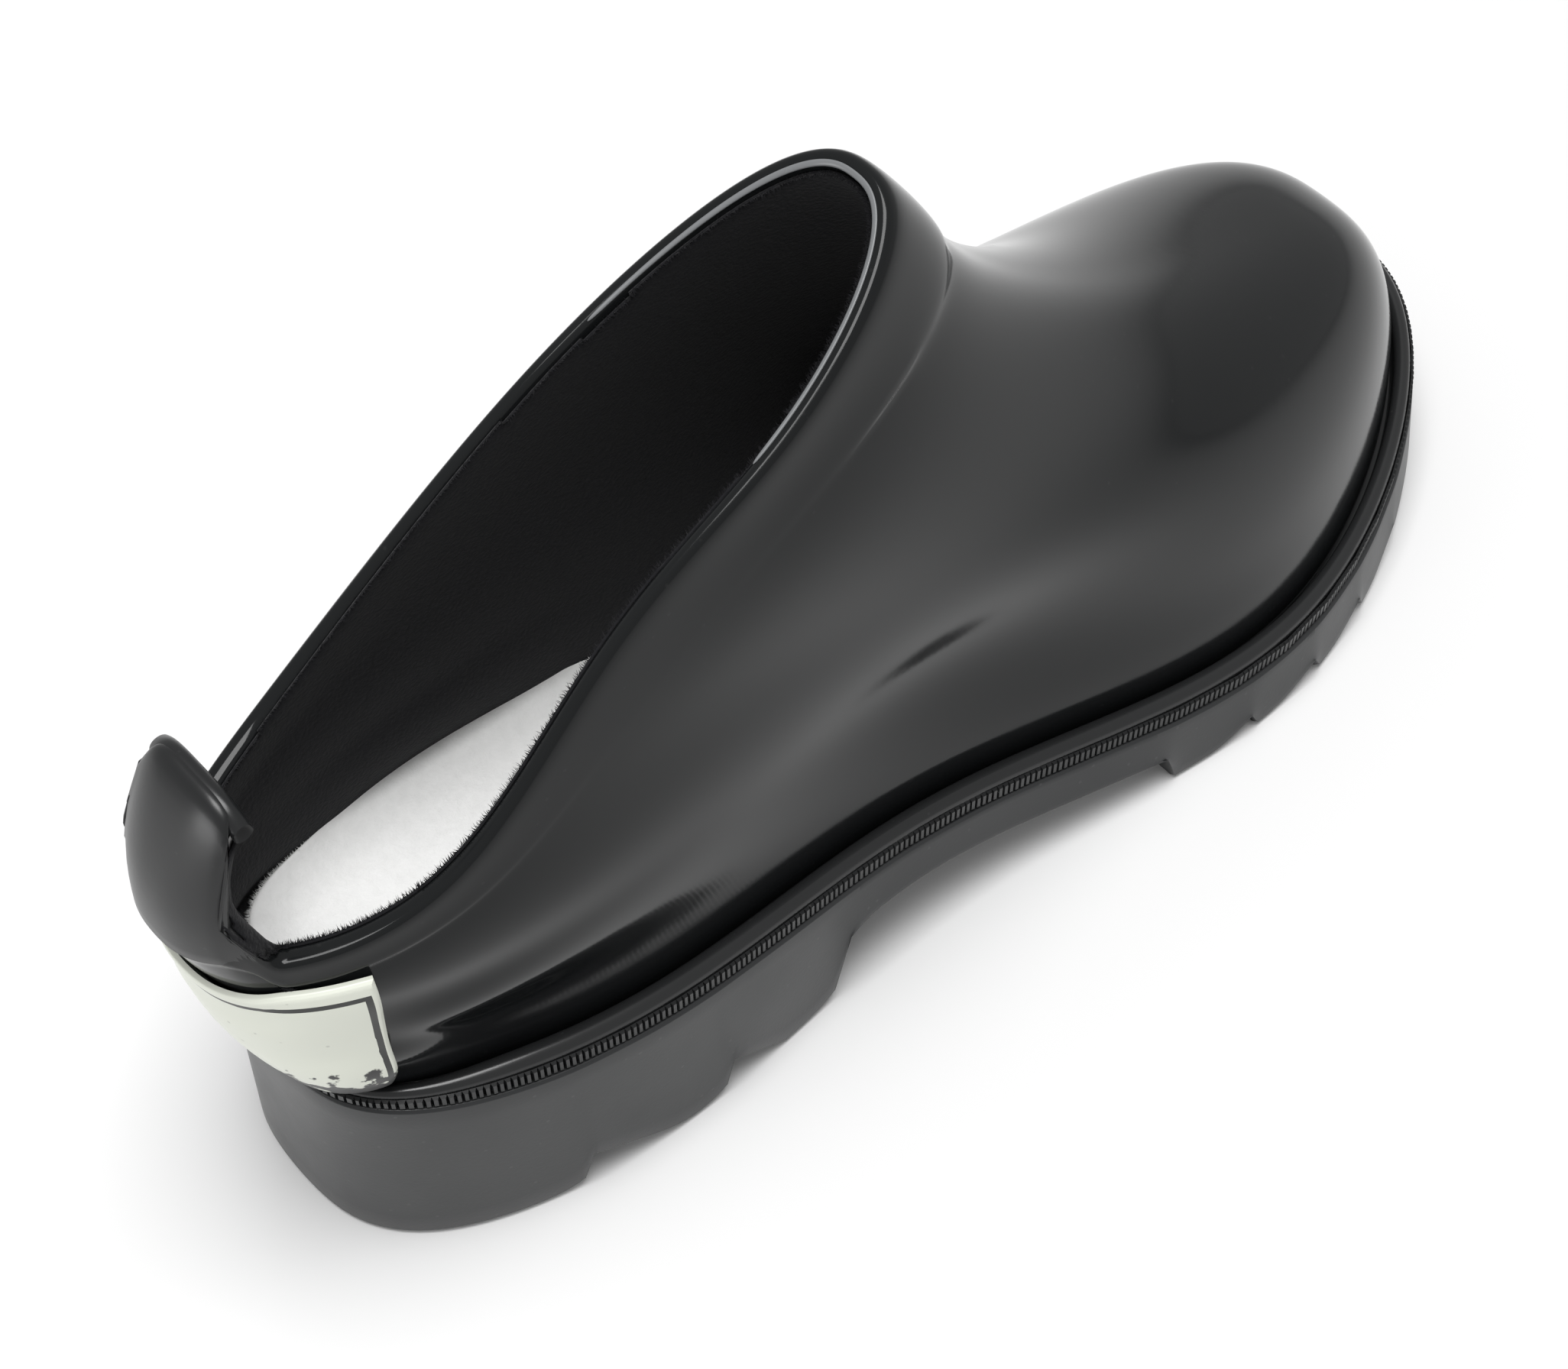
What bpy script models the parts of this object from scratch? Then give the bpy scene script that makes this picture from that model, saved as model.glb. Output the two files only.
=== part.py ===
"""Rubber garden boot for the right foot: a lugged sole, a welt, a moulded upper, an insole and a heel patch.

X runs from heel to toe, Y to the shoe's left (the inner side of a right foot) and Z up from the floor.
Sizes are millimetres until a mesh is made; the finished part is centred over the origin.
"""
import bpy
import numpy as np

MM = 0.001
FULL_TURN = 2 * np.pi

# Driving dimensions
LENGTH = 270.0          # tread, heel to toe
SOLE_FLARE = 1.8        # the tread is this much wider all round than the sole's top edge
OUTLINE_POWER = 0.72    # bluntness of heel and toe in plan
WALL = 3.0              # rubber wall of the upper
GAP = 0.3               # between pieces that touch
WELT_INSET = 1.1        # from the sole's top edge to the welt
BEAD_HEIGHT = 5.4       # welt above the sole's top edge
HEEL_BEAD_HEIGHT = 3.4  # the same at the back, under the heel patch
PLATEAU_HEIGHT = 7.0    # raised middle of the sole, which fills the bottom of the upper
PLATEAU_CLEAR = 1.8     # from the upper's inner face to the plateau
INSOLE_THICK = 5.5
INSOLE_CUP = (4.5, 4.5, 0.5)    # rise of the insole's edge at heel, sides and toe, where it hugs the wall
INSOLE_LEAN = (0.9, -3.3, -3.1)     # the edge's lean towards the wall
INSOLE_ARCH = 5.0       # extra rise of the edge at the arch, on the foot's inner side
INSOLE_CUP_WIDTH = 8.0
INSOLE_CLEAR = 2.2      # from the upper's inner face to the insole
INSOLE_EDGE = 0.8       # bevel round the insole
TREAD_EDGE = 1.2        # bevel round the tread
SEAT_EDGE = 0.5         # bevel of the sole's top edge
TOE_SPRING = 5.5        # the tread's lift at the tip
SPRING_START = 192.0

# Plan of the tread: share of the length, half widths to the right and left, and middle line
OUTLINE = np.array([
    # share, right, left, middle
    (0.00, 48.0, 48.0, 0.0),
    (0.20, 42.5, 43.0, 0.0),
    (0.42, 30.6, 37.0, -5.0),
    (0.72, 45.4, 55.5, -3.8),
    (1.00, 51.0, 44.0, 13.0),
])

# Top edge of the sole, where welt and upper sit
SEAT = np.array([
    # along, height
    (0.0, 42.5),
    (54.0, 34.5),
    (110.0, 25.2),
    (155.0, 17.0),
    (192.0, 13.6),
    (232.0, 16.5),
    (270.0, 23.5),
])

# Underside of the sole along the foot: heel lugs bite forwards, forefoot lugs backwards
TREAD = np.array([
    # along, height
    (0.0, 0.0),
    (31.0, 0.0),
    (34.0, 1.6),
    (36.2, 8.6),
    (53.0, 0.0),
    (59.0, 0.0),
    (62.4, 2.0),
    (64.2, 8.6),
    (76.0, 0.0),
    (84.0, 0.0),
    (87.8, 2.2),
    (91.5, 15.8),
    (96.0, 17.8),
    (110.0, 16.8),
    (130.0, 12.4),
    (161.5, 7.0),
    (163.8, 0.0),
    (175.0, 0.0),
    (181.4, 4.0),
    (183.6, 0.0),
    (191.0, 0.0),
    (199.2, 4.2),
    (201.6, 0.0),
    (208.0, 0.0),
    (215.4, 4.4),
    (217.8, 0.0),
    (225.0, 0.0),
    (233.0, 3.6),
    (235.4, 0.4),
    (270.0, 3.0),
])

# Lower rings of the upper: inset from the sole's top edge at heel, sides and toe, and height over the seat
HEEL_SHARE = 0.11       # the heel's insets fade into those of the sides over this share of the length
FEATHER_INSET = (3.4, 5.6, 4.8)
FOOT_RINGS = (
    # name, insets, height
    ("feather", FEATHER_INSET, GAP),
    ("bead line", (3.0, 6.3, 5.4), 5.6),
    ("wall", (-0.4, 7.6, 6.5), 14.0),
)

# Rings of the upper from the toe's shoulder to the collar, each a tilted loop round the last.
# Half widths and heights are read a quarter, a half and three quarters of the way to the front.
FORM_RINGS = (
    # name, back, front, power, heel, middle half and front, right x3, left x3, heights back to front x5
    ("shoulder", -0.8, 254.6, 0.74, 1.327, -1.5, 11.5,
     (25.2, 23.0, 38.7), (25.6, 28.0, 37.3), (61, 57, 49, 40.5, 46)),
    ("toe top", -2.2, 236.7, 0.78, 1.273, -1.5, 8.5,
     (25.4, 22.8, 33.4), (25.85, 27.0, 32.8), (67, 67, 66, 61, 56.5)),
    ("vamp", -3.4, 187.0, 0.80, 1.166, -2.5, 1.5,
     (25.0, 21.6, 24.5), (25.45, 26.5, 28.0), (73, 76, 84, 84.5, 81)),
    ("throat", -4.2, 145.2, 0.82, 1.078, -1.0, 0.0,
     (24.0, 22.3, 22.5), (24.5, 24.5, 23.0), (78, 83, 98, 112, 116.5)),
    ("band", -4.5, 131.7, 0.82, 1.02, 0.0, 0.0,
     (22.8, 21.8, 20.0), (23.0, 22.0, 20.0), (82, 87.5, 108, 125, 137.7)),
    ("collar", -4.5, 124.0, 0.84, 1.02, 0.0, 0.0,
     (22.0, 20.5, 19.5), (22.0, 20.5, 19.5), (86, 92, 115.5, 131.5, 149)),
)
BLUNT_FRONT = 1.04      # the loops are fuller at the front than at the sides
ROWS_BETWEEN = (1, 2, 2, 3, 4, 4, 3, 2)     # mesh rows between neighbouring rings
SPOKES = 80
SPOKE_CROWDING = 0.2

# Pull tab: the back of the collar carried up, bowed backwards and curled over
TAB_HALF_WIDTH = 9.6
TAB_SHOULDER = 2.6      # width of the curve from its side edge into the collar
TAB_RISE = 32.0
TAB_WAIST_RISE = 17.0
TAB_CURL = 7.5          # forward lean of the top
TAB_BOW = 2.2           # backward lean of the middle
TAB_SIDE_BOW = 4.8      # the same of its side edges, half way down
TAB_FLAT = 0.85         # how far the top edge is straightened out of the collar's curve
TAB_ROUND = 2.6         # drop of the top edge at its corners
TAB_HEM = 1.0           # extra thickness of the rolled top
BAND_STEP = 0.7         # the collar band stands this proud at heel and front, and fades out at the sides
BAND_ROW = 18           # mesh row where the band starts
BAND_EDGE = 0.12        # height of its step, in rows
RIM_ROUND = 0.12        # the rim's crown, as a share of the last row's height

# Heel patch, wrapped round the back between welt and collar
PATCH_LOW = 49.0
PATCH_HIGH = 80.4
PATCH_REACH = (12.4, 12.8)      # how far forward its ends lie at the lower and upper edge
PATCH_THICK = 1.9
PATCH_FOOT = 2.8        # extra thickness of its lower edge, which stands over the welt
PATCH_SEAT = 0.6        # clear of the facets of the upper
PATCH_CHAMFER = 0.5


def spline(knots, values, places):
    """Natural cubic spline through the values (one row for each knot), read at the places."""
    knots = np.asarray(knots, float)
    values = np.asarray(values, float)
    count = len(knots)
    step = np.diff(knots)
    system = np.eye(count)
    pull = np.zeros_like(values)
    for i in range(1, count - 1):
        system[i, i - 1:i + 2] = step[i - 1], 2 * (step[i - 1] + step[i]), step[i]
        pull[i] = 6 * ((values[i + 1] - values[i]) / step[i] - (values[i] - values[i - 1]) / step[i - 1])
    bend = np.linalg.solve(system, pull.reshape(count, -1)).reshape(values.shape)
    places = np.asarray(places, float)
    left = np.clip(np.searchsorted(knots, places, side="right") - 1, 0, count - 2)
    shape = places.shape + (1,) * (values.ndim - 1)
    width = step[left].reshape(shape)
    near = (places - knots[left]).reshape(shape)
    far = width - near
    curve = bend[left] * far ** 3 + bend[left + 1] * near ** 3
    line_left = values[left] / width - bend[left] * width / 6
    line_right = values[left + 1] / width - bend[left + 1] * width / 6
    return curve / (6 * width) + line_left * far + line_right * near


def share_of(turn):
    """Share of the length from heel (0) to toe (1) for a turn round the shoe."""
    return (1 - np.cos(turn)) / 2


def seat(along):
    return spline(SEAT[:, 0], SEAT[:, 1], along)


def tread(along):
    """Height of the underside, with the toe spring added."""
    lift = np.clip((along - SPRING_START) / (LENGTH - SPRING_START), 0, 1)
    return np.interp(along, TREAD[:, 0], TREAD[:, 1]) + TOE_SPRING * lift ** 2


def tread_point(turn):
    """Plan of the tread at a turn: right side from 0 to pi, left side from pi to a full turn."""
    share = share_of(turn)
    reach = np.abs(np.sin(turn)) ** OUTLINE_POWER
    right = spline(OUTLINE[:, 0], OUTLINE[:, 1], share)
    left = spline(OUTLINE[:, 0], OUTLINE[:, 2], share)
    middle = spline(OUTLINE[:, 0], OUTLINE[:, 3], share)
    across = np.where(np.sin(turn) >= 0, middle - right * reach, middle + left * reach)
    return np.stack([LENGTH * share, across], axis=-1)


def outline(turn, inset):
    """Plan of the tread, moved inwards by the inset."""
    nudge = 0.002
    along = tread_point(turn + nudge) - tread_point(turn - nudge)
    along /= np.linalg.norm(along, axis=-1, keepdims=True)
    inward = np.stack([along[..., 1] * -1, along[..., 0]], axis=-1)
    return tread_point(turn) + inward * np.reshape(inset, (-1, 1))


def seat_ring(turn, inset, height):
    """A ring that follows the sole's top edge, moved inwards by the inset and lifted off the seat."""
    plan = outline(turn, inset + SOLE_FLARE)
    return np.column_stack([plan, seat(plan[:, 0]) + height])


def along_foot(values, turn):
    """Values for heel, sides and toe, blended smoothly along the foot."""
    heel, side, toe = values
    share = share_of(turn)
    off_heel = np.clip(share / HEEL_SHARE, 0, 1)
    to_toe = np.clip(2 * share - 1, 0, 1)
    off_heel = off_heel * off_heel * (3 - 2 * off_heel)
    to_toe = to_toe * to_toe * (3 - 2 * to_toe)
    return heel + (side - heel) * off_heel + (toe - side) * to_toe


def feather_inset(turn):
    """From the sole's top edge to the upper's outer face."""
    return along_foot(FEATHER_INSET, turn)


def foot_ring(turn, row):
    """One of the upper's lower rings, which follow the sole's edge."""
    name, insets, height = row
    return seat_ring(turn, along_foot(insets, turn), height)


def form_ring(turn, row):
    """One of the upper's tilted loops."""
    name, back, front, power, heel, middle_half, middle_front, right, left, heights = row
    share = share_of(turn)
    quarters = (0, 0.25, 0.5, 0.75, 1)
    reach = np.abs(np.sin(turn)) ** power
    side_reach = np.sin(np.pi / 3) ** power

    def half_width(values):
        near, mid, far = values[0] / side_reach, values[1], values[2] / side_reach
        return spline(quarters, (near * heel, near, mid, far, far * BLUNT_FRONT), share)

    middle = spline((0, 0.5, 1), (0, middle_half, middle_front), share)
    to_right = middle - half_width(right) * reach
    to_left = middle + half_width(left) * reach
    across = np.where(np.sin(turn) >= 0, to_right, to_left)
    return np.column_stack([back + (front - back) * share, across, spline(quarters, heights, share)])


def tab_share(turn, across):
    """1 on the pull tab, 0 on the collar beside it, with an S-curve between."""
    behind = np.cos(turn) > 0.5
    fade = np.clip((TAB_HALF_WIDTH + TAB_SHOULDER - np.abs(across)) / TAB_SHOULDER, 0, 1)
    return np.where(behind, fade * fade * (3 - 2 * fade), 0)


def upper_rings(turn, with_tab):
    """All rings of the upper's outer face, with or without the pull tab."""
    rings = [foot_ring(turn, row) for row in FOOT_RINGS] + [form_ring(turn, row) for row in FORM_RINGS]
    band, collar = rings[-2], rings[-1]
    if with_tab:
        on_tab = tab_share(turn, collar[:, 1])
        band[:, 0] -= TAB_BOW * on_tab
        band[:, 2] += TAB_WAIST_RISE * on_tab
        off_back = collar[:, 0] - collar[:, 0].min()
        collar[:, 0] += (TAB_CURL - TAB_FLAT * off_back) * on_tab
        collar[:, 0] -= TAB_SIDE_BOW * 4 * on_tab * (1 - on_tab)
        drop = TAB_ROUND * (collar[:, 1] / TAB_HALF_WIDTH) ** 4
        collar[:, 2] += (TAB_RISE - drop) * on_tab
    return np.array(rings)


RING_ROWS = np.concatenate([[0], np.cumsum(ROWS_BETWEEN)])


def upper_face(turn, rows, with_tab=True):
    """Points of the upper's outer face on spokes (turn) and rows, as an array of rows by spokes."""
    return spline(RING_ROWS, upper_rings(turn, with_tab), rows)


def upper_normals(turn, rows):
    """Outward normals of the upper's outer face; the tab's side edges don't turn them."""
    nudge = 0.03
    round_shoe = upper_face(turn + nudge, rows, False) - upper_face(turn - nudge, rows, False)
    up_wall = upper_face(turn, rows + nudge) - upper_face(turn, rows - nudge)
    normal = np.cross(round_shoe, up_wall)
    return normal / np.linalg.norm(normal, axis=-1, keepdims=True)


def make_object(name, vertices, faces, colour, roughness):
    """A named, smooth-shaded object with its own material, from points in millimetres."""
    mesh = bpy.data.meshes.new(name)
    mesh.from_pydata([tuple(point) for point in np.asarray(vertices) * MM], [], faces)
    mesh.shade_smooth()
    mesh.set_sharp_from_angle(angle=np.radians(40))
    material = bpy.data.materials.new(name)
    material.use_nodes = True
    shader = material.node_tree.nodes["Principled BSDF"]
    shader.inputs["Base Color"].default_value = (*colour, 1)
    shader.inputs["Roughness"].default_value = roughness
    mesh.materials.append(material)
    piece = bpy.data.objects.new(name, mesh)
    bpy.context.scene.collection.objects.link(piece)
    return piece


def band_faces(rows, around, close_rows=False):
    """Quads between stacked rings of equal length; the last ring may join the first."""
    faces = []
    for row in range(rows if close_rows else rows - 1):
        above = (row + 1) % rows
        for i in range(around):
            j = (i + 1) % around
            faces.append((row * around + i, row * around + j, above * around + j, above * around + i))
    return faces


def strip_faces(first, around, upwards):
    """Quads across a ring whose points pair up right and left at equal lengths along the foot."""
    faces = []
    half = around // 2
    for k in range(half):
        right, right_next = first + k, first + k + 1
        left, left_next = first + (around - k) % around, first + around - k - 1
        corners = [right, right_next, left_next, left]
        if k == 0:
            corners = [right, right_next, left_next]
        elif k == half - 1:
            corners = [right, right_next, left]
        faces.append(tuple(corners) if upwards else tuple(reversed(corners)))
    return faces


def spoke_turns():
    """Turns of the spokes, closer together at heel and toe than along the sides."""
    even = np.arange(SPOKES) * FULL_TURN / SPOKES
    return even - SPOKE_CROWDING * np.sin(2 * even)


def sole_turns():
    """Turns for the sole's rings: even steps, and one at each corner of the tread."""
    corners = np.arccos(1 - 2 * TREAD[1:-1, 0] / LENGTH)
    even = np.linspace(0, np.pi, 37)
    clear = [turn for turn in even if np.min(np.abs(corners - turn)) > 0.03]
    side = np.unique(np.concatenate([corners, clear]))
    return np.concatenate([side, FULL_TURN - side[-2:0:-1]])


def make_outsole():
    turn = sole_turns()
    station = LENGTH * share_of(turn)
    low = tread(station)
    ledge = feather_inset(turn) + WALL + PLATEAU_CLEAR
    rings = [
        np.column_stack([outline(turn, TREAD_EDGE), low]),
        np.column_stack([outline(turn, 0.0), low + TREAD_EDGE]),
        np.column_stack([outline(turn, SOLE_FLARE / 2), (low + seat(station)) / 2]),
        seat_ring(turn, 0.0, -SEAT_EDGE),
        seat_ring(turn, SEAT_EDGE, 0.0),
        seat_ring(turn, ledge, 0.0),
        seat_ring(turn, ledge, PLATEAU_HEIGHT),
    ]
    around = len(turn)
    faces = band_faces(len(rings), around)
    faces += strip_faces(0, around, upwards=False)
    faces += strip_faces((len(rings) - 1) * around, around, upwards=True)
    return make_object("outsole", np.concatenate(rings), faces, (0.035, 0.037, 0.039), 0.45)


def make_welt():
    turn = spoke_turns()
    width = feather_inset(turn) - GAP - WELT_INSET
    bead = along_foot((HEEL_BEAD_HEIGHT, BEAD_HEIGHT, BEAD_HEIGHT), turn)
    section = (
        # share of the width inwards, share of the bead's height
        (0.0, 0.0),
        (0.0, 0.62),
        (0.15, 0.86),
        (0.5, 1.0),
        (0.82, 0.93),
        (1.0, 0.78),
        (1.0, 0.0),
    )
    rings = []
    for inwards, up in section:
        rings.append(seat_ring(turn, WELT_INSET + inwards * width, GAP + up * (bead - GAP)))
    faces = band_faces(len(rings), SPOKES, close_rows=True)
    return make_object("welt", np.concatenate(rings), faces, (0.012, 0.013, 0.014), 0.2)


def make_upper():
    turn = spoke_turns()
    rows = np.sort(np.append(np.arange(RING_ROWS[-1] + 1), BAND_ROW - BAND_EDGE))
    outer = upper_face(turn, rows)
    normal = upper_normals(turn, rows)
    step = BAND_STEP * np.outer(rows >= BAND_ROW, np.cos(turn) ** 2)
    outer = outer + normal * step[..., None]
    hem = TAB_HEM * tab_share(turn, outer[-1, :, 1])
    depth = WALL + step
    depth[-2:] += hem
    inner = outer - normal * depth[..., None]
    inner[0, :, 2] = np.maximum(inner[0, :, 2], seat(inner[0, :, 0]) + GAP)
    rim = (outer[-1] + inner[-1]) / 2 + (outer[-1] - outer[-2]) * RIM_ROUND
    rings = np.concatenate([outer, rim[None], inner[::-1]])
    faces = band_faces(len(rings), SPOKES, close_rows=True)
    return make_object("upper", rings.reshape(-1, 3), faces, (0.010, 0.011, 0.012), 0.12)


def make_insole():
    turn = spoke_turns()
    low = PLATEAU_HEIGHT + GAP
    clear = feather_inset(turn) + WALL + INSOLE_CLEAR
    arch = INSOLE_ARCH * np.clip(-np.sin(turn), 0, 1) ** 4
    cup = along_foot(INSOLE_CUP, turn) + arch
    rings = [
        seat_ring(turn, clear + INSOLE_EDGE, low),
        seat_ring(turn, clear, low + INSOLE_EDGE),
        seat_ring(turn, clear - along_foot(INSOLE_LEAN, turn), low + INSOLE_THICK + cup),
        seat_ring(turn, clear + INSOLE_CUP_WIDTH / 3, low + INSOLE_THICK + cup / 2),
        seat_ring(turn, clear + INSOLE_CUP_WIDTH, low + INSOLE_THICK),
    ]
    faces = band_faces(len(rings), SPOKES)
    faces += strip_faces(0, SPOKES, upwards=False)
    faces += strip_faces((len(rings) - 1) * SPOKES, SPOKES, upwards=True)
    return make_object("insole", np.concatenate(rings), faces, (0.80, 0.80, 0.78), 0.95)


def make_heel_patch():
    across = 21
    tall = 11
    fine_rows = np.linspace(0, RING_ROWS[-1], 200)
    to_side = np.linspace(-1, 1, across)
    search_turns = np.linspace(0, 1, 60)
    search_face = upper_face(search_turns, fine_rows)

    def sheet(lift, foot, margin):
        """Even heights on every spoke, pulled in by the margin at the patch's edges."""
        points = []
        for up in np.linspace(0, 1, tall):
            height = PATCH_LOW + margin + up * (PATCH_HIGH - PATCH_LOW - 2 * margin)
            along = [np.interp(height, search_face[:, i, 2], search_face[:, i, 0]) for i in range(60)]
            reach = PATCH_REACH[0] + up * (PATCH_REACH[1] - PATCH_REACH[0])
            turn = to_side * np.interp(reach, along, search_turns)
            face = upper_face(turn, fine_rows)
            normal = upper_normals(turn, fine_rows)
            line = []
            for i in range(across):
                place = np.interp(height, face[:, i, 2], fine_rows)
                spot = [np.interp(place, fine_rows, face[:, i, axis]) for axis in range(3)]
                out = [np.interp(place, fine_rows, normal[:, i, axis]) for axis in range(3)]
                proud = lift + foot * (1 - up) * (1 - to_side[i] ** 2)
                line.append(np.array(spot) + np.array(out) * proud)
            points.append(line)
        points = np.array(points)
        side = points[:, 1] - points[:, 0]
        points[:, 0] += side / np.linalg.norm(side, axis=-1, keepdims=True) * margin
        side = points[:, -2] - points[:, -1]
        points[:, -1] += side / np.linalg.norm(side, axis=-1, keepdims=True) * margin
        return points

    sheets = [
        sheet(PATCH_SEAT, 0, 0),
        sheet(PATCH_THICK - PATCH_CHAMFER, PATCH_FOOT, 0),
        sheet(PATCH_THICK, PATCH_FOOT, PATCH_CHAMFER),
    ]
    size = tall * across
    vertices = np.concatenate([part.reshape(-1, 3) for part in sheets])
    border = [i for i in range(across)]
    border += [row * across + across - 1 for row in range(1, tall)]
    border += [(tall - 1) * across + i for i in range(across - 2, -1, -1)]
    border += [row * across for row in range(tall - 2, 0, -1)]
    faces = []
    for row in range(tall - 1):
        for i in range(across - 1):
            a = row * across + i
            quad = (a, a + 1, a + across + 1, a + across)
            faces.append(tuple(reversed(quad)))
            faces.append(tuple(2 * size + corner for corner in quad))
    for level in range(2):
        for i, corner in enumerate(border):
            after = border[(i + 1) % len(border)]
            low, high = level * size, (level + 1) * size
            faces.append((low + corner, low + after, high + after, high + corner))
    return make_object("heel_patch", vertices, faces, (0.72, 0.74, 0.66), 0.4)


def centre_over_origin(pieces):
    """Moves all pieces together, so that the origin is on the floor under the middle of the part."""
    points = np.array([vertex.co for piece in pieces for vertex in piece.data.vertices])
    middle = (points.min(axis=0) + points.max(axis=0)) / 2
    floor = points[:, 2].min()
    for piece in pieces:
        for vertex in piece.data.vertices:
            vertex.co.x -= middle[0]
            vertex.co.y -= middle[1]
            vertex.co.z -= floor


def main():
    for old in list(bpy.data.objects):
        bpy.data.objects.remove(old, do_unlink=True)
    pieces = [make_outsole(), make_welt(), make_upper(), make_insole(), make_heel_patch()]
    centre_over_origin(pieces)


main()
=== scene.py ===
"""Rubber garden boot for the right foot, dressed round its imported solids.

Lengths are metres. X runs from heel to toe, Y to the boot's left and Z up from the floor.
"""
import bpy
import math
import numpy as np
from mathutils import Matrix, Vector


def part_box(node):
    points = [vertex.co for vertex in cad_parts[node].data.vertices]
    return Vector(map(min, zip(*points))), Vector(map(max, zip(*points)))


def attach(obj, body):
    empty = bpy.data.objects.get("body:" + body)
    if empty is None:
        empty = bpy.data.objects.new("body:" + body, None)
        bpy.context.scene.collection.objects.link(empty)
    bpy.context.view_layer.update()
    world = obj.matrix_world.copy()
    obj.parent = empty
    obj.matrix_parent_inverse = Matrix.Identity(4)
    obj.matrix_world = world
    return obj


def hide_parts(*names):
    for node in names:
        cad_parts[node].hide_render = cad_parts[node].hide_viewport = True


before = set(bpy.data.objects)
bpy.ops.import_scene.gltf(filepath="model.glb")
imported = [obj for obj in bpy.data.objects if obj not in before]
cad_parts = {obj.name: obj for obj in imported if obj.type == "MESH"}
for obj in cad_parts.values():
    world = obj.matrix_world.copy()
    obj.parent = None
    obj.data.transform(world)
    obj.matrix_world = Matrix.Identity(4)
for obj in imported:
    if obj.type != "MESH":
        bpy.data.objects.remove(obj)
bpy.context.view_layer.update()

# Studio: a white sweep under soft lamps, with the camera behind the heel on the outer side, looking down
# into the collar. A small lamp stands low behind the heel, where the satin tab catches it.
mm = 0.001
scene = bpy.context.scene
scene.view_settings.view_transform = "Standard"
bpy.ops.object.select_all(action="DESELECT")
bpy.ops.object.camera_add()
camera = bpy.context.object
camera.data.sensor_fit = "HORIZONTAL"
camera.data.sensor_width = 36.0
camera.data.lens = 63.16
camera_turn = Matrix.Rotation(math.radians(-41.58), 4, "Z")
camera_tip = Matrix.Rotation(math.radians(34.60), 4, "X")
camera_roll = Matrix.Rotation(math.radians(-0.56), 4, "Z")
camera_place = Matrix.Translation((-198.25 * mm, -198.76 * mm, 420.81 * mm))
camera.matrix_world = camera_place @ camera_turn @ camera_tip @ camera_roll
scene.camera = camera

bpy.ops.mesh.primitive_plane_add(size=8)
floor = bpy.context.object
floor.name = "studio_floor"
floor_paint = bpy.data.materials.new("white sweep")
floor_paint.use_nodes = True
floor_shader = floor_paint.node_tree.nodes["Principled BSDF"]
floor_shader.inputs["Base Color"].default_value = (0.78, 0.78, 0.78, 1)
floor_shader.inputs["Roughness"].default_value = 0.8
floor_shader.inputs["Specular IOR Level"].default_value = 0.1
floor.data.materials.append(floor_paint)

world = bpy.data.worlds.new("studio")
scene.world = world
world.use_nodes = True
world.node_tree.nodes["Background"].inputs["Color"].default_value = (1, 1, 1, 1)
world.node_tree.nodes["Background"].inputs["Strength"].default_value = 0.5


def softbox(name, place, aim, width, height, watts):
    """A rectangular studio lamp at a place, facing a point."""
    bpy.ops.object.light_add(type="AREA", location=place)
    lamp = bpy.context.object
    lamp.name = name
    lamp.data.shape = "RECTANGLE"
    lamp.data.size = width
    lamp.data.size_y = height
    lamp.data.energy = watts
    direction = np.array(place) - np.array(aim)
    flat = math.hypot(direction[0], direction[1])
    lamp.rotation_euler = (math.atan2(flat, direction[2]), 0, math.atan2(direction[0], -direction[1]))
    return lamp


softbox("overhead_softbox", place=(-0.10, -0.05, 1.3), aim=(0, 0, 0), width=0.7, height=0.7, watts=16)
softbox("heel_softbox", place=(-1.2, 0.10, 0.18), aim=(-0.13, 0, 0.10), width=0.6, height=0.34, watts=3.2)

# Moulding marks: what every rubber piece of the boot shows, a faint uneven skin with dust specks in it.
# It is one node group, placed in each rubber's material with its own values.
skin = bpy.data.node_groups.new("moulded skin", "ShaderNodeTree")
for socket_name, preset in (("Grain Size", 900.0), ("Dust", 0.3), ("Smooth", 0.2), ("Dull", 0.35)):
    socket = skin.interface.new_socket(name=socket_name, in_out="INPUT", socket_type="NodeSocketFloat")
    socket.default_value = preset
for socket_name in ("Roughness", "Height", "Dust Mask"):
    skin.interface.new_socket(name=socket_name, in_out="OUTPUT", socket_type="NodeSocketFloat")
skin_in = skin.nodes.new("NodeGroupInput")
skin_out = skin.nodes.new("NodeGroupOutput")
skin_place = skin.nodes.new("ShaderNodeTexCoord")
skin_grain = skin.nodes.new("ShaderNodeTexNoise")
skin_grain.inputs["Detail"].default_value = 3
skin_cloud = skin.nodes.new("ShaderNodeTexNoise")
skin_cloud.inputs["Scale"].default_value = 26
skin_cloud.inputs["Detail"].default_value = 5
skin_speck = skin.nodes.new("ShaderNodeTexVoronoi")
skin_speck.inputs["Scale"].default_value = 260
skin_speck.inputs["Randomness"].default_value = 1
skin_speck_size = skin.nodes.new("ShaderNodeMapRange")
skin_speck_size.inputs["From Min"].default_value = 0.05
skin_speck_size.inputs["From Max"].default_value = 0.10
skin_speck_size.inputs["To Min"].default_value = 1
skin_speck_size.inputs["To Max"].default_value = 0
skin_rough = skin.nodes.new("ShaderNodeMapRange")
skin_rough.inputs["From Min"].default_value = 0.35
skin_rough.inputs["From Max"].default_value = 0.65
skin_dust = skin.nodes.new("ShaderNodeMath")
skin_dust.operation = "MULTIPLY"
for texture in (skin_grain, skin_cloud, skin_speck):
    skin.links.new(skin_place.outputs["Object"], texture.inputs["Vector"])
skin.links.new(skin_in.outputs["Grain Size"], skin_grain.inputs["Scale"])
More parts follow.
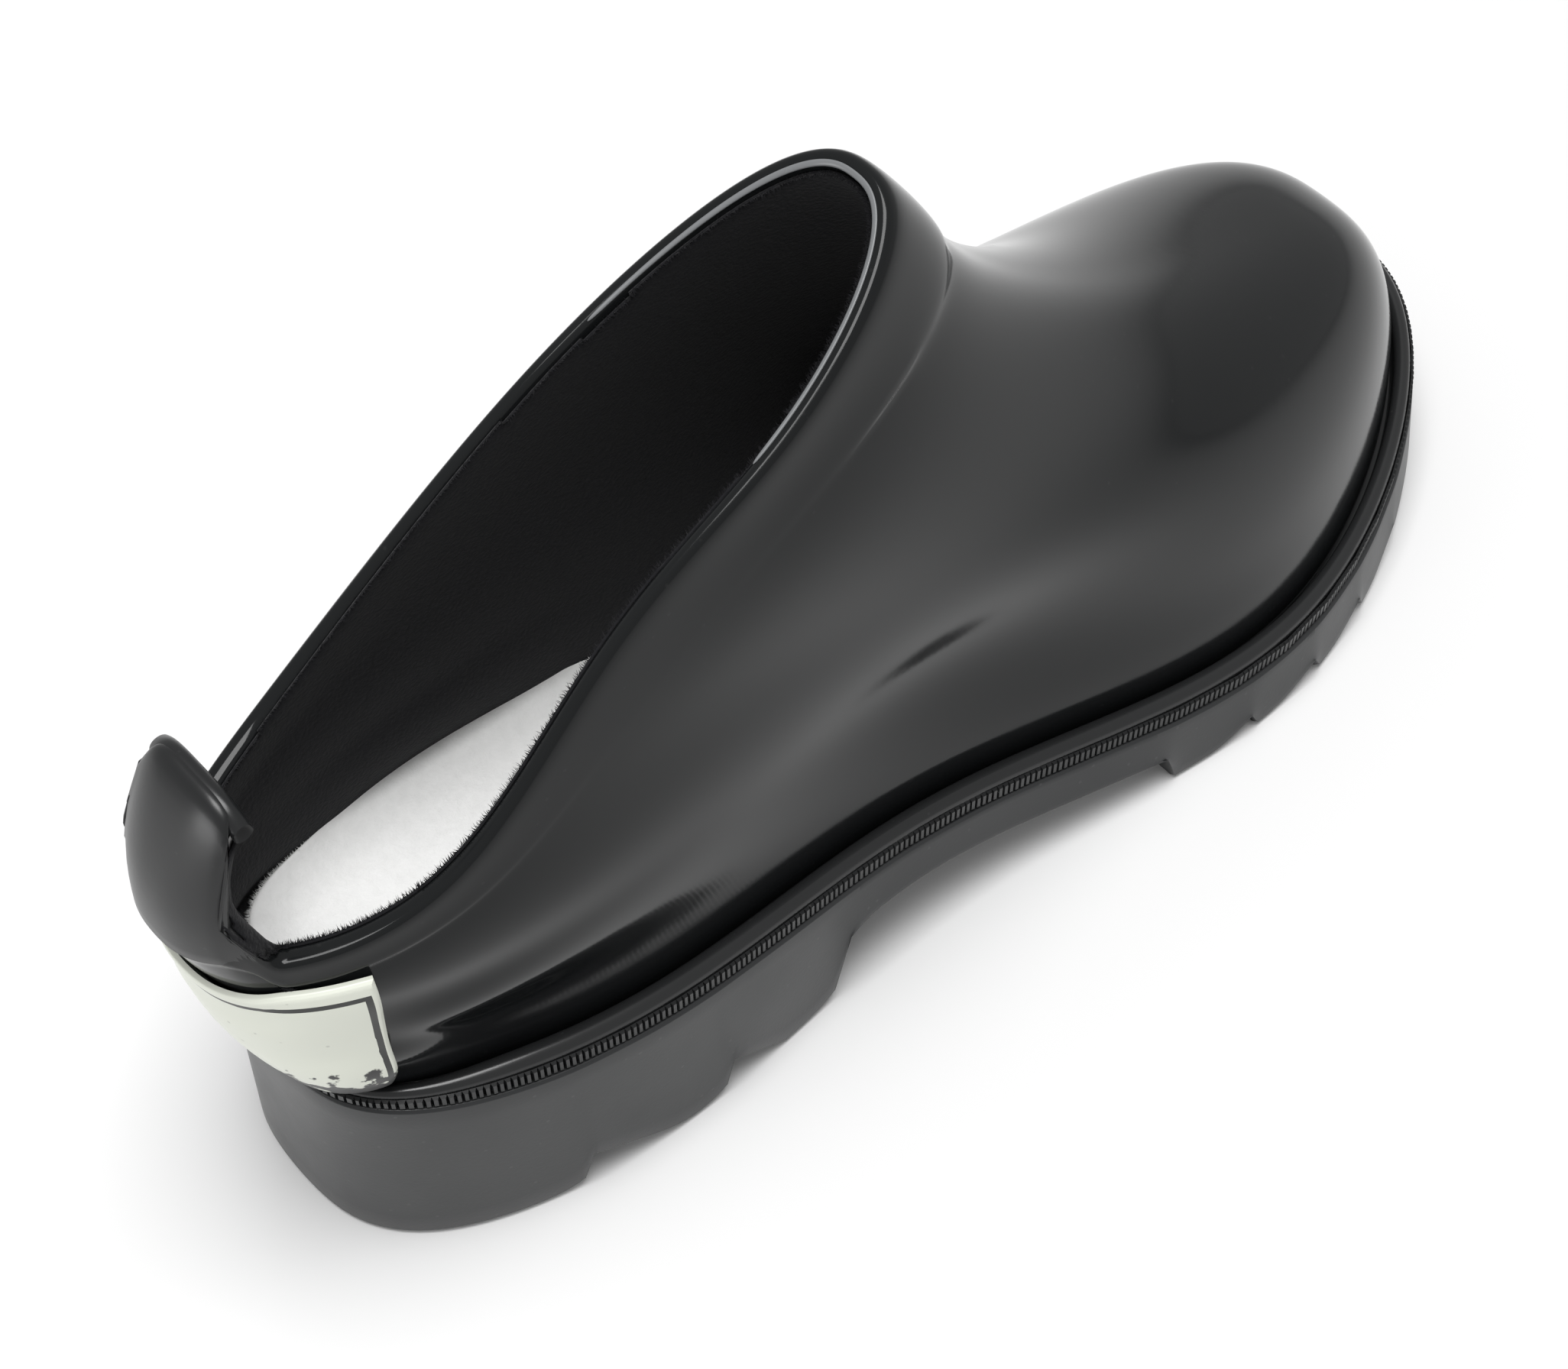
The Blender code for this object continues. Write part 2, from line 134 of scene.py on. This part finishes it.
skin.links.new(skin_in.outputs["Smooth"], skin_rough.inputs["To Min"])
skin.links.new(skin_in.outputs["Dull"], skin_rough.inputs["To Max"])
skin.links.new(skin_cloud.outputs["Fac"], skin_rough.inputs["Value"])
skin.links.new(skin_speck.outputs["Distance"], skin_speck_size.inputs["Value"])
skin.links.new(skin_speck_size.outputs["Result"], skin_dust.inputs[0])
skin.links.new(skin_in.outputs["Dust"], skin_dust.inputs[1])
skin.links.new(skin_rough.outputs["Result"], skin_out.inputs["Roughness"])
skin.links.new(skin_grain.outputs["Fac"], skin_out.inputs["Height"])
skin.links.new(skin_dust.outputs["Value"], skin_out.inputs["Dust Mask"])


def rubber(name, colour, dust_colour, grain_size, dust, smooth, dull, bump, shine=0.5):
    """A moulded rubber: colours, dust, gloss from smooth to dull, depth of its grain, strength of shine."""
    paint = bpy.data.materials.new(name)
    paint.use_nodes = True
    nodes = paint.node_tree.nodes
    links = paint.node_tree.links
    shader = nodes["Principled BSDF"]
    shader.inputs["Specular IOR Level"].default_value = shine
    marks = nodes.new("ShaderNodeGroup")
    marks.node_tree = skin
    marks.name = "Skin"
    marks.inputs["Grain Size"].default_value = grain_size
    marks.inputs["Dust"].default_value = dust
    marks.inputs["Smooth"].default_value = smooth
    marks.inputs["Dull"].default_value = dull
    tint = nodes.new("ShaderNodeMix")
    tint.data_type = "RGBA"
    tint.name = "Tint"
    tint.inputs["A"].default_value = (*colour, 1)
    tint.inputs["B"].default_value = (*dust_colour, 1)
    relief = nodes.new("ShaderNodeBump")
    relief.name = "Relief"
    relief.inputs["Strength"].default_value = bump
    relief.inputs["Distance"].default_value = 0.15 * mm
    links.new(marks.outputs["Dust Mask"], tint.inputs["Factor"])
    links.new(tint.outputs["Result"], shader.inputs["Base Color"])
    links.new(marks.outputs["Roughness"], shader.inputs["Roughness"])
    links.new(marks.outputs["Height"], relief.inputs["Height"])
    links.new(relief.outputs["Normal"], shader.inputs["Normal"])
    return paint


# Outsole: one moulded rubber block with heel lugs, arch, forefoot lugs and a thin edge on top.
# Its side comes satin smooth from the mould, and its corners are slightly rounded.
def work_on(piece):
    """Makes a piece the only one that the modelling tools act on."""
    if bpy.context.mode != "OBJECT":
        bpy.ops.object.mode_set(mode="OBJECT")
    bpy.ops.object.select_all(action="DESELECT")
    piece.select_set(True)
    bpy.context.view_layer.objects.active = piece


def fine_copy(node, name):
    """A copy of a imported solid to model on, with its triangles joined to quads again."""
    piece = bpy.data.objects.new(name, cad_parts[node].data.copy())
    scene.collection.objects.link(piece)
    work_on(piece)
    bpy.ops.mesh.customdata_custom_splitnormals_clear()
    bpy.ops.object.mode_set(mode="EDIT")
    bpy.ops.mesh.select_all(action="SELECT")
    bpy.ops.mesh.remove_doubles(threshold=0.01 * mm)
    bpy.ops.mesh.tris_convert_to_quads(
        face_threshold=math.radians(90), shape_threshold=math.radians(180), topology_influence=2)
    bpy.ops.object.mode_set(mode="OBJECT")
    piece.data.materials.clear()
    return piece


def add_modifier(piece, kind, **settings):
    """Adds a modifier, sets it and applies it to the mesh."""
    work_on(piece)
    bpy.ops.object.modifier_add(type=kind)
    tool = piece.modifiers[-1]
    for setting, value in settings.items():
        setattr(tool, setting, value)
    bpy.ops.object.modifier_apply(modifier=tool.name)


def crease_sharp_edges(piece, degrees):
    """Keeps edges sharper than this angle crisp when the surface is subdivided."""
    work_on(piece)
    bpy.ops.object.mode_set(mode="EDIT")
    bpy.ops.mesh.select_mode(type="EDGE")
    bpy.ops.mesh.select_all(action="DESELECT")
    bpy.ops.mesh.edges_select_sharp(sharpness=math.radians(degrees))
    bpy.ops.transform.edge_crease(value=1)
    bpy.ops.object.mode_set(mode="OBJECT")


outsole = fine_copy("outsole", "lugged_outsole")
sole_edge = 0.35 * mm
crease_sharp_edges(outsole, 28)
add_modifier(outsole, "SUBSURF", levels=2, render_levels=2)
add_modifier(
    outsole, "BEVEL", width=sole_edge, segments=2, limit_method="ANGLE", angle_limit=math.radians(35))
bpy.ops.object.shade_smooth_by_angle(angle=math.radians(50))
outsole.data.materials.append(rubber(
    "satin sole rubber", colour=(0.021, 0.022, 0.023), dust_colour=(0.10, 0.10, 0.10), grain_size=1500,
    dust=0.25, smooth=0.28, dull=0.42, bump=0.10, shine=0.4))
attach(outsole, "root")
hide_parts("outsole")

# Welt: the rounded rubber bead laid round the joint of sole and upper, a little duller than the upper.
# Its outer foot is a knurled strip of fine upright teeth.
def choose_faces(piece, wanted):
    """Opens a piece for editing with those faces chosen whose middle and normal are wanted."""
    work_on(piece)
    scene.tool_settings.mesh_select_mode = (False, False, True)
    bpy.ops.object.mode_set(mode="EDIT")
    bpy.ops.mesh.select_all(action="DESELECT")
    bpy.ops.object.mode_set(mode="OBJECT")
    for face in piece.data.polygons:
        face.select = bool(wanted(face.center, face.normal))
    bpy.ops.object.mode_set(mode="EDIT")


def keep_faces(piece, wanted):
    """Deletes all other faces of a piece."""
    choose_faces(piece, lambda centre, normal: not wanted(centre, normal))
    bpy.ops.mesh.delete(type="FACE")
    bpy.ops.object.mode_set(mode="OBJECT")


welt = fine_copy("welt", "welt_bead")
crease_sharp_edges(welt, 60)
add_modifier(welt, "SUBSURF", levels=2, render_levels=2)
bpy.ops.object.shade_smooth_by_angle(angle=math.radians(60))
welt.data.materials.append(rubber(
    "glossy bead rubber", colour=(0.016, 0.0165, 0.017), dust_colour=(0.06, 0.06, 0.06), grain_size=420,
    dust=0.15, smooth=0.14, dull=0.26, bump=0.04, shine=0.42))
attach(welt, "root")
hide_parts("welt")

knurl = fine_copy("welt", "knurled_strip")
strip_middle = [sum(corner[axis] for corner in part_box("welt")) / 2 for axis in range(3)]
tooth_pitch = 1.15 * mm
tooth_height = 0.55 * mm
tooth_inset = 0.26 * mm
shortest_run = 0.5 * mm


def on_outer_foot(centre, normal):
    """True on the upright outer face at the foot of the bead."""
    outward = normal.x * (centre.x - strip_middle[0]) + normal.y * (centre.y - strip_middle[1])
    return abs(normal.z) < 0.25 and outward > 0


def edge_key(one, two):
    """Names an edge by its two ends, whichever comes first."""
    return tuple(sorted(tuple(round(c, 6) for c in end) for end in (one, two)))


keep_faces(knurl, on_outer_foot)
by_cuts = {}
for edge in knurl.data.edges:
    one, two = (knurl.data.vertices[i].co for i in edge.vertices)
    run = math.hypot(one.x - two.x, one.y - two.y)
    cuts = round(run / tooth_pitch) - 1
    if run > shortest_run and cuts > 0:
        by_cuts.setdefault(cuts, set()).add(edge_key(one, two))
for cuts, wanted_edges in by_cuts.items():
    work_on(knurl)
    for item in list(knurl.data.polygons) + list(knurl.data.edges) + list(knurl.data.vertices):
        item.select = False
    for edge in knurl.data.edges:
        one, two = (knurl.data.vertices[i].co for i in edge.vertices)
        edge.select = edge_key(one, two) in wanted_edges
    bpy.ops.object.mode_set(mode="EDIT")
    bpy.ops.mesh.select_mode(type="EDGE")
    bpy.ops.mesh.subdivide(number_cuts=cuts)
    bpy.ops.object.mode_set(mode="OBJECT")
choose_faces(knurl, lambda centre, normal: True)
bpy.ops.mesh.inset(thickness=tooth_inset, depth=tooth_height, use_individual=True, use_even_offset=True)
bpy.ops.object.mode_set(mode="OBJECT")
bpy.ops.object.shade_smooth_by_angle(angle=math.radians(35))
# The knurl is cut from the bead's own rubber; its darker colour here is painted shade for the recessed
# knurled band.
knurl.data.materials.append(rubber(
    "knurled rubber", colour=(0.007, 0.0075, 0.008), dust_colour=(0.08, 0.08, 0.08), grain_size=1500,
    dust=0.3, smooth=0.22, dull=0.36, bump=0.05, shine=0.3))
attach(knurl, "root")

# Upper: one glossy moulded shell with a rolled collar edge, open at the top and underneath.
# Its wall is rubber dipped over a last, so every form runs into the next without a seam. The pull tab,
# the back edge carried up above the collar band, comes out satin.
rim_slope = 0.525
rim_height = 153.0 * mm
band_back = -45 * mm
band_under_rim = (7 * mm, 20 * mm)
heel_band_front = -118 * mm
heel_band_heights = (87 * mm, 94 * mm)
upper = fine_copy("upper", "upper_shell")
work_on(upper)
scene.tool_settings.mesh_select_mode = (False, True, False)
bpy.ops.object.mode_set(mode="EDIT")
bpy.ops.mesh.select_all(action="DESELECT")
bpy.ops.mesh.edges_select_sharp(sharpness=math.radians(18))
bpy.ops.object.mode_set(mode="OBJECT")
for edge in upper.data.edges:
    middle = (upper.data.vertices[edge.vertices[0]].co + upper.data.vertices[edge.vertices[1]].co) / 2
    under_rim = rim_height + rim_slope * middle.x - middle.z
    at_front = middle.x > band_back and band_under_rim[0] < under_rim < band_under_rim[1]
    at_heel_height = heel_band_heights[0] < middle.z < heel_band_heights[1]
    at_heel = middle.x < heel_band_front and at_heel_height
    edge.select = edge.select and (at_front or at_heel)
bpy.ops.object.mode_set(mode="EDIT")
bpy.ops.transform.edge_crease(value=0.9)
bpy.ops.object.mode_set(mode="OBJECT")
add_modifier(upper, "SUBSURF", levels=2, render_levels=2)
bpy.ops.object.shade_smooth()
upper.data.materials.append(rubber(
    "glossy black rubber", colour=(0.0075, 0.0082, 0.0086), dust_colour=(0.05, 0.05, 0.05), grain_size=420,
    dust=0.12, smooth=0.07, dull=0.14, bump=0.03, shine=0.22))
upper.data.materials.append(rubber(
    "satin tab rubber", colour=(0.010, 0.0105, 0.011), dust_colour=(0.06, 0.06, 0.06), grain_size=900,
    dust=0.2, smooth=0.22, dull=0.34, bump=0.05, shine=0.4))
tab_front = -121 * mm
tab_foot = 91.5 * mm
for face in upper.data.polygons:
    if face.center.x < tab_front and face.center.z > tab_foot:
        face.material_index = 1
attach(upper, "root")
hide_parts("upper")

# Rim highlight: a pale strip laid round the front half of the rim's inner edge, a painted highlight for the
# reflection that the rounded rubber edge catches there. It is a thin shell, and ends where the collar
# starts to fall towards the heel.
rim_normal = Vector((-rim_slope, 0, 1)).normalized()
boot_middle_y = -0.94 * mm
collar_middle = Vector((-60 * mm, boot_middle_y, rim_height - 60 * mm * rim_slope))
highlight_start = -46 * mm
highlight_reach = 2.2 * mm
highlight_margin = 0.45 * mm
highlight_thickness = 0.5 * mm


def on_inner_rim(centre, normal):
    """True on the inner half of the rim's top, in front of the highlight's start."""
    above_rim = centre.z - rim_slope * centre.x - rim_height
    upward = normal.dot(rim_normal)
    leaning = normal - rim_normal * upward
    inwards = leaning.dot(collar_middle - centre) > 0
    return centre.x > highlight_start and abs(above_rim) < highlight_reach and upward > 0.6 and inwards


rim_highlight = fine_copy("upper", "painted_rim_highlight")
keep_faces(rim_highlight, on_inner_rim)
choose_faces(rim_highlight, lambda centre, normal: True)
bpy.ops.mesh.inset(thickness=highlight_margin, use_boundary=True)
bpy.ops.mesh.select_all(action="INVERT")
bpy.ops.mesh.delete(type="FACE")
bpy.ops.object.mode_set(mode="OBJECT")
add_modifier(rim_highlight, "SOLIDIFY", thickness=highlight_thickness, offset=0)
add_modifier(rim_highlight, "SUBSURF", levels=2, render_levels=2)
bpy.ops.object.shade_smooth()
# The strip's pale grey is a painted highlight: the reflection on the rim's rounded inner edge, not a colour
# of the rubber.
rim_highlight.data.materials.append(rubber(
    "painted rim highlight", colour=(0.15, 0.155, 0.16), dust_colour=(0.08, 0.08, 0.08), grain_size=900,
    dust=0.3, smooth=0.22, dull=0.36, bump=0.05))
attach(rim_highlight, "root")

# Tab hem: the top edge of the pull tab, rubber turned inwards and rolled to a bead, so that it doesn't cut
# the hand. Its ends stay open and show the hollow of the roll.
hem_radius = 1.6 * mm
hem_half = 9.6 * mm
hem_drop = 2.6 * mm
hem_wall = 0.6 * mm
hem_hollow = 1.6 * mm
hem_behind_edge = 0.7 * mm
hem_under_top = 1.7 * mm
tab_top_foot = 112 * mm
shell_points = [vertex.co for vertex in upper.data.vertices]
tab_top = [point for point in shell_points if point.z > tab_top_foot and point.x < tab_front]
tab_middle_y = (min(point.y for point in tab_top) + max(point.y for point in tab_top)) / 2
tab_highest = max(point.z for point in tab_top)
tab_inner_x = max(point.x for point in tab_top)
hem_place = (tab_inner_x - hem_behind_edge, tab_middle_y, tab_highest - hem_under_top)
bpy.ops.mesh.primitive_cylinder_add(
    vertices=24, radius=hem_radius, depth=2 * hem_half, end_fill_type="NGON",
    location=hem_place, rotation=(math.radians(90), 0, 0))
hem = bpy.context.object
hem.name = "tab_hem"
bpy.ops.object.transform_apply(location=True, rotation=True, scale=True)
choose_faces(hem, lambda centre, normal: abs(normal.y) > 0.9)
bpy.ops.mesh.inset(thickness=hem_wall, depth=-hem_hollow, use_individual=True)
bpy.ops.object.mode_set(mode="OBJECT")
scene.tool_settings.mesh_select_mode = (False, True, False)
bpy.ops.object.mode_set(mode="EDIT")
bpy.ops.mesh.select_all(action="DESELECT")
bpy.ops.object.mode_set(mode="OBJECT")
for edge in hem.data.edges:
    one, two = (hem.data.vertices[i].co for i in edge.vertices)
    edge.select = abs(one.y - two.y) > hem_half
bpy.ops.object.mode_set(mode="EDIT")
bpy.ops.mesh.subdivide(number_cuts=11)
bpy.ops.object.mode_set(mode="OBJECT")
for vertex in hem.data.vertices:
    vertex.co.z -= hem_drop * ((vertex.co.y - tab_middle_y) / hem_half) ** 4
crease_sharp_edges(hem, 60)
add_modifier(hem, "SUBSURF", levels=1, render_levels=1)
bpy.ops.object.shade_smooth_by_angle(angle=math.radians(50))
hem.data.materials.append(upper.data.materials[1])
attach(hem, "root")

# Lining: black flock, short fibres shot into glue on the inner wall, up to just below the rim.
# Stray fibres stand out along its upper edge.
foot_back = -100 * mm
foot_front = 95 * mm
foot_height = 62 * mm
foot_fall = 0.11
lining_under_rim = 2.4 * mm
pile_thickness = 0.4 * mm
pile_lift = 0.5 * mm
fibre_foot = 70 * mm
tab_root = 92 * mm


def faces_foot(centre, normal):
    """True on the wall that faces the foot's middle line, below the rim."""
    along = min(max(centre.x, foot_back), foot_front)
    height = foot_height - (along - foot_back) * foot_fall
    out = (centre.x - along) * normal.x + centre.y * normal.y + (centre.z - height) * normal.z
    if centre.x < highlight_start:
        return out < 0 and normal.z < 0.8 and (centre.x > tab_front or centre.z < tab_top_foot)
    under_rim = rim_height + rim_slope * centre.x - centre.z
    return out < 0 and normal.z < 0.5 and under_rim > lining_under_rim


def fibres(name, roots, leans, longest, thickness, paint):
    """Fine three-sided hairs that stand on the roots, leaning as given, each of its own length."""
    chance = np.random.default_rng(len(roots))
    points = []
    faces = []
    for root, lean in zip(roots, leans):
        scatter = chance.normal(0, 0.45, 3)
        lean = np.array(lean) + scatter
        lean /= np.linalg.norm(lean)
        side = np.cross(lean, (0.3, 0.5, 0.8))
        side /= np.linalg.norm(side)
        other = np.cross(lean, side)
        length = longest * chance.uniform(0.35, 1)
        first = len(points)
        for turn in (0, 2.1, 4.2):
            points.append(np.array(root) + thickness / 2 * (side * math.cos(turn) + other * math.sin(turn)))
        points.append(np.array(root) + lean * length)
        faces += [(first, first + 2, first + 1)]
        faces += [(first + i, first + (i + 1) % 3, first + 3) for i in range(3)]
    mesh = bpy.data.meshes.new(name)
    mesh.from_pydata([tuple(point) for point in points], [], faces)
    hairs = bpy.data.objects.new(name, mesh)
    scene.collection.objects.link(hairs)
    mesh.materials.append(paint)
    return hairs


def napped_cloth(name, dark, light, pile_scale, detail, roughness, depth):
    """A napped material: two tones and a relief from one fine noise."""
    cloth = bpy.data.materials.new(name)
    cloth.use_nodes = True
    nodes = cloth.node_tree.nodes
    links = cloth.node_tree.links
    shader = nodes["Principled BSDF"]
    place = nodes.new("ShaderNodeTexCoord")
    pile = nodes.new("ShaderNodeTexNoise")
    pile.inputs["Scale"].default_value = pile_scale
    pile.inputs["Detail"].default_value = detail
    pile.inputs["Roughness"].default_value = roughness
    tint = nodes.new("ShaderNodeMix")
    tint.data_type = "RGBA"
    tint.inputs["A"].default_value = (*dark, 1)
    tint.inputs["B"].default_value = (*light, 1)
    relief = nodes.new("ShaderNodeBump")
    relief.inputs["Strength"].default_value = 0.6
    relief.inputs["Distance"].default_value = depth
    links.new(place.outputs["Object"], pile.inputs["Vector"])
    links.new(pile.outputs["Fac"], tint.inputs["Factor"])
    links.new(tint.outputs["Result"], shader.inputs["Base Color"])
    links.new(pile.outputs["Fac"], relief.inputs["Height"])
    links.new(relief.outputs["Normal"], shader.inputs["Normal"])
    return cloth


lining = bpy.data.objects.new("flock_lining", upper.data.copy())
scene.collection.objects.link(lining)
lining.data.materials.clear()
keep_faces(lining, faces_foot)
choose_faces(lining, lambda centre, normal: True)
bpy.ops.transform.shrink_fatten(value=pile_lift)
bpy.ops.object.mode_set(mode="OBJECT")
edge_uses = {}
for face in lining.data.polygons:
    for key in face.edge_keys:
        edge_uses[key] = edge_uses.get(key, 0) + 1
lining_roots = []
lining_leans = []
for key, uses in edge_uses.items():
    one, two = (lining.data.vertices[i] for i in key)
    on_tab = one.co.x < tab_front and one.co.z > tab_root
    if uses == 1 and one.co.z > fibre_foot and not on_tab:
        for share in np.linspace(0, 1, 12):
            lining_roots.append(one.co.lerp(two.co, share))
            lining_leans.append(one.normal * 0.8 + Vector((0, 0, 0.5)))
add_modifier(lining, "SOLIDIFY", thickness=pile_thickness, offset=-1)
bpy.ops.object.shade_smooth()
flock = napped_cloth(
    "black flock", dark=(0.003, 0.003, 0.004), light=(0.013, 0.013, 0.015), pile_scale=1400, detail=4,
    roughness=0.5, depth=0.4 * mm)
flock_shader = flock.node_tree.nodes["Principled BSDF"]
flock_shader.inputs["Roughness"].default_value = 0.95
flock_shader.inputs["Specular IOR Level"].default_value = 0.2
flock_shader.inputs["Sheen Weight"].default_value = 0.06
lining.data.materials.append(flock)
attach(lining, "root")
lining_hairs = fibres(
    "flock_hairs", lining_roots, lining_leans, longest=1.1 * mm, thickness=0.16 * mm, paint=flock)
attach(lining_hairs, "root")

# Insole: a thick white felt footbed, cupped at the edge and laid loose in the boot.
# Behind the arch the soft felt spreads to the lining. Its cut edge is fuzzy with short wool fibres.
felt_spread = 0.13
felt_reach = 2.5 * mm
felt_fade = 60 * mm
insole_middle = [sum(corner[axis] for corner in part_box("insole")) / 2 for axis in range(3)]
insole = fine_copy("insole", "felt_insole")
add_modifier(insole, "SUBSURF", levels=3, render_levels=3)
for vertex in insole.data.vertices:
    behind_arch = min(max(-vertex.co.x / felt_fade, 0), 1)
    vertex.co.y += felt_spread * behind_arch * (vertex.co.y - insole_middle[1])
    vertex.co.x -= felt_reach * behind_arch
bpy.ops.object.shade_smooth()
felt = napped_cloth(
    "white felt", dark=(0.80, 0.80, 0.79), light=(0.96, 0.96, 0.95), pile_scale=500, detail=6,
    roughness=0.65, depth=0.6 * mm)
felt_shader = felt.node_tree.nodes["Principled BSDF"]
felt_shader.inputs["Roughness"].default_value = 1.0
felt_shader.inputs["Sheen Weight"].default_value = 0.2
insole.data.materials.append(felt)
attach(insole, "root")
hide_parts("insole")
insole_roots = []
insole_leans = []
for vertex in insole.data.vertices:
    outward = Vector((vertex.co.x - insole_middle[0], vertex.co.y - insole_middle[1], 0))
    sideways = vertex.normal.x * outward.x + vertex.normal.y * outward.y
    if 0.2 < vertex.normal.z < 0.85 and sideways > 0:
        insole_roots += [vertex.co.copy()] * 2
        insole_leans += [vertex.normal.copy()] * 2
insole_hairs = fibres(
    "felt_hairs", insole_roots, insole_leans, longest=1.1 * mm, thickness=0.10 * mm, paint=felt)
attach(insole_hairs, "root")

# Heel patch: an off-white rubber label vulcanised round the heel, left blank inside a thin dark frame line.
# Its lower edge is scuffed through to the black.
patch = fine_copy("heel_patch", "blank_heel_patch")
crease_sharp_edges(patch, 40)
add_modifier(patch, "SUBSURF", levels=2, render_levels=2)
bpy.ops.object.shade_smooth_by_angle(angle=math.radians(50))
patch_white = rubber(
    "off-white rubber", colour=(0.66, 0.68, 0.60), dust_colour=(0.25, 0.26, 0.23), grain_size=700,
    dust=0.4, smooth=0.30, dull=0.45, bump=0.06)
patch_nodes = patch_white.node_tree.nodes
patch_links = patch_white.node_tree.links
patch_low, patch_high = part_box("heel_patch")
scuff_foot = 5.0 * mm
scuff_top = 12.0 * mm
scuff_place = patch_nodes.new("ShaderNodeTexCoord")
scuff_split = patch_nodes.new("ShaderNodeSeparateXYZ")
scuff_edge = patch_nodes.new("ShaderNodeMapRange")
scuff_edge.inputs["From Min"].default_value = patch_low[2] + scuff_foot
scuff_edge.inputs["From Max"].default_value = patch_low[2] + scuff_top
scuff_edge.inputs["To Min"].default_value = 0.22
scuff_edge.inputs["To Max"].default_value = -0.12
scuff_noise = patch_nodes.new("ShaderNodeTexNoise")
scuff_noise.inputs["Scale"].default_value = 300
scuff_noise.inputs["Detail"].default_value = 4
scuff_sum = patch_nodes.new("ShaderNodeMath")
scuff_sum.operation = "ADD"
scuff_mask = patch_nodes.new("ShaderNodeMapRange")
scuff_mask.inputs["From Min"].default_value = 0.60
scuff_mask.inputs["From Max"].default_value = 0.64
scuff_tint = patch_nodes.new("ShaderNodeMix")
scuff_tint.data_type = "RGBA"
scuff_tint.inputs["B"].default_value = (0.02, 0.02, 0.02, 1)
patch_links.new(scuff_place.outputs["Object"], scuff_split.inputs["Vector"])
patch_links.new(scuff_place.outputs["Object"], scuff_noise.inputs["Vector"])
patch_links.new(scuff_split.outputs["Z"], scuff_edge.inputs["Value"])
patch_links.new(scuff_edge.outputs["Result"], scuff_sum.inputs[0])
patch_links.new(scuff_noise.outputs["Fac"], scuff_sum.inputs[1])
patch_links.new(scuff_sum.outputs["Value"], scuff_mask.inputs["Value"])
patch_links.new(scuff_mask.outputs["Result"], scuff_tint.inputs["Factor"])
patch_links.new(patch_nodes["Tint"].outputs["Result"], scuff_tint.inputs["A"])
patch_links.new(scuff_tint.outputs["Result"], patch_nodes["Principled BSDF"].inputs["Base Color"])
patch.data.materials.append(patch_white)
patch.data.materials.append(rubber(
    "dark frame line", colour=(0.015, 0.016, 0.015), dust_colour=(0.2, 0.2, 0.2), grain_size=700,
    dust=0.2, smooth=0.3, dull=0.45, bump=0.06))
line_from_top = 2.6 * mm
line_from_end = 1.5 * mm
line_width = 1.0 * mm
end_width = 0.9 * mm
heel_middle_x = -105 * mm
work_on(patch)
bpy.ops.object.mode_set(mode="EDIT")
for depth in (line_from_top, line_from_top + line_width):
    bpy.ops.mesh.select_all(action="SELECT")
    bpy.ops.mesh.bisect(plane_co=(0, 0, patch_high[2] - depth), plane_no=(0, 0, 1))
for depth in (line_from_end, line_from_end + end_width):
    bpy.ops.mesh.select_all(action="SELECT")
    bpy.ops.mesh.bisect(plane_co=(patch_high[0] - depth, 0, 0), plane_no=(1, 0, 0))
bpy.ops.object.mode_set(mode="OBJECT")
for face in patch.data.polygons:
    from_top = patch_high[2] - face.center.z
    from_end = patch_high[0] - face.center.x
    outward_x = face.normal.x * (face.center.x - heel_middle_x)
    outward_y = face.normal.y * (face.center.y - boot_middle_y)
    inside = from_top > line_from_top and from_end > line_from_end
    on_line = from_top < line_from_top + line_width or from_end < line_from_end + end_width
    facing_out = outward_x + outward_y > 0 and abs(face.normal.z) < 0.8
    if facing_out and inside and on_line:
        face.material_index = 1
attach(patch, "root")
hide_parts("heel_patch")
